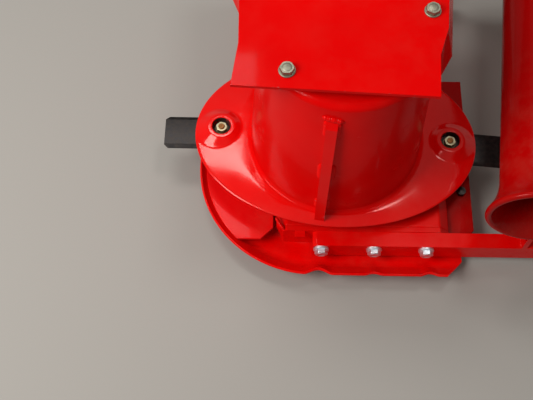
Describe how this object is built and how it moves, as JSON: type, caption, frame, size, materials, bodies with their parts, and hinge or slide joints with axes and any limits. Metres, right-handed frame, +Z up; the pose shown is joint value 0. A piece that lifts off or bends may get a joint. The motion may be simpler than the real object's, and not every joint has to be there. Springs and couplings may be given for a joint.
{
  "type": "disc mower cutter-bar end unit",
  "caption": "Outer end of a disc mower's cutter bar: oval cutting disc with drum and swinging knives over a skid shoe, with tie bar, carrier tube and cover plate.",
  "frame": {"origin": "on the ground, at the skid shoe's wear face, straight under the spindle", "axes": "+Z up along the spindle, +Y along the cutter bar from its free end to its joint face, +X from the cutting side to the carrier tube"},
  "size_m": [0.6755, 0.55, 0.399],
  "materials": {
    "bare_steel": "machined steel",
    "black_steel": "hardened steel, black from heat treatment",
    "galvanised": "dull galvanised steel",
    "red_paint": "glossy red enamel over steel",
    "tube_paint": "glossy darker red enamel over steel",
    "yellow_zinc": "yellow zinc plating",
    "zinc": "bright zinc plating"
  },
  "bodies": {
    "bar": {"bearing_housing": "red_paint", "carrier_tube": "tube_paint", "cover_bolts": "galvanised", "cover_plate": "red_paint", "end_cap": "red_paint", "end_frame": "red_paint", "gear_case": "red_paint", "gear_cover": "red_paint", "guard_plate": "red_paint", "saddle_plate": "red_paint", "skid_shoe": "red_paint", "tie_bar": "red_paint", "tie_bolts": "zinc", "trailing_nuts": "black_steel", "trailing_plate": "red_paint"},
    "rotor": {"disc": "red_paint", "drum": "red_paint", "knife_nuts": "yellow_zinc", "knife_pins": "black_steel", "rib_back": "red_paint", "rib_front": "red_paint", "spindle": "bare_steel"},
    "left_knife": {"knife_left": "black_steel"},
    "right_knife": {"knife_right": "black_steel"}
  },
  "joints": [
    {"name": "rotor_spin", "type": "hinge", "parent": "bar", "child": "rotor", "pos_m": [0, 0, 0.07], "axis": [0, 0, 1], "continuous": true},
    {"name": "left_knife_swing", "type": "hinge", "parent": "rotor", "child": "left_knife", "pos_m": [-0.18221, 0.01019, 0.073], "axis": [0, 0, 1], "continuous": true},
    {"name": "right_knife_swing", "type": "hinge", "parent": "rotor", "child": "right_knife", "pos_m": [0.18221, -0.01019, 0.073], "axis": [0, 0, 1], "continuous": true}
  ]
}
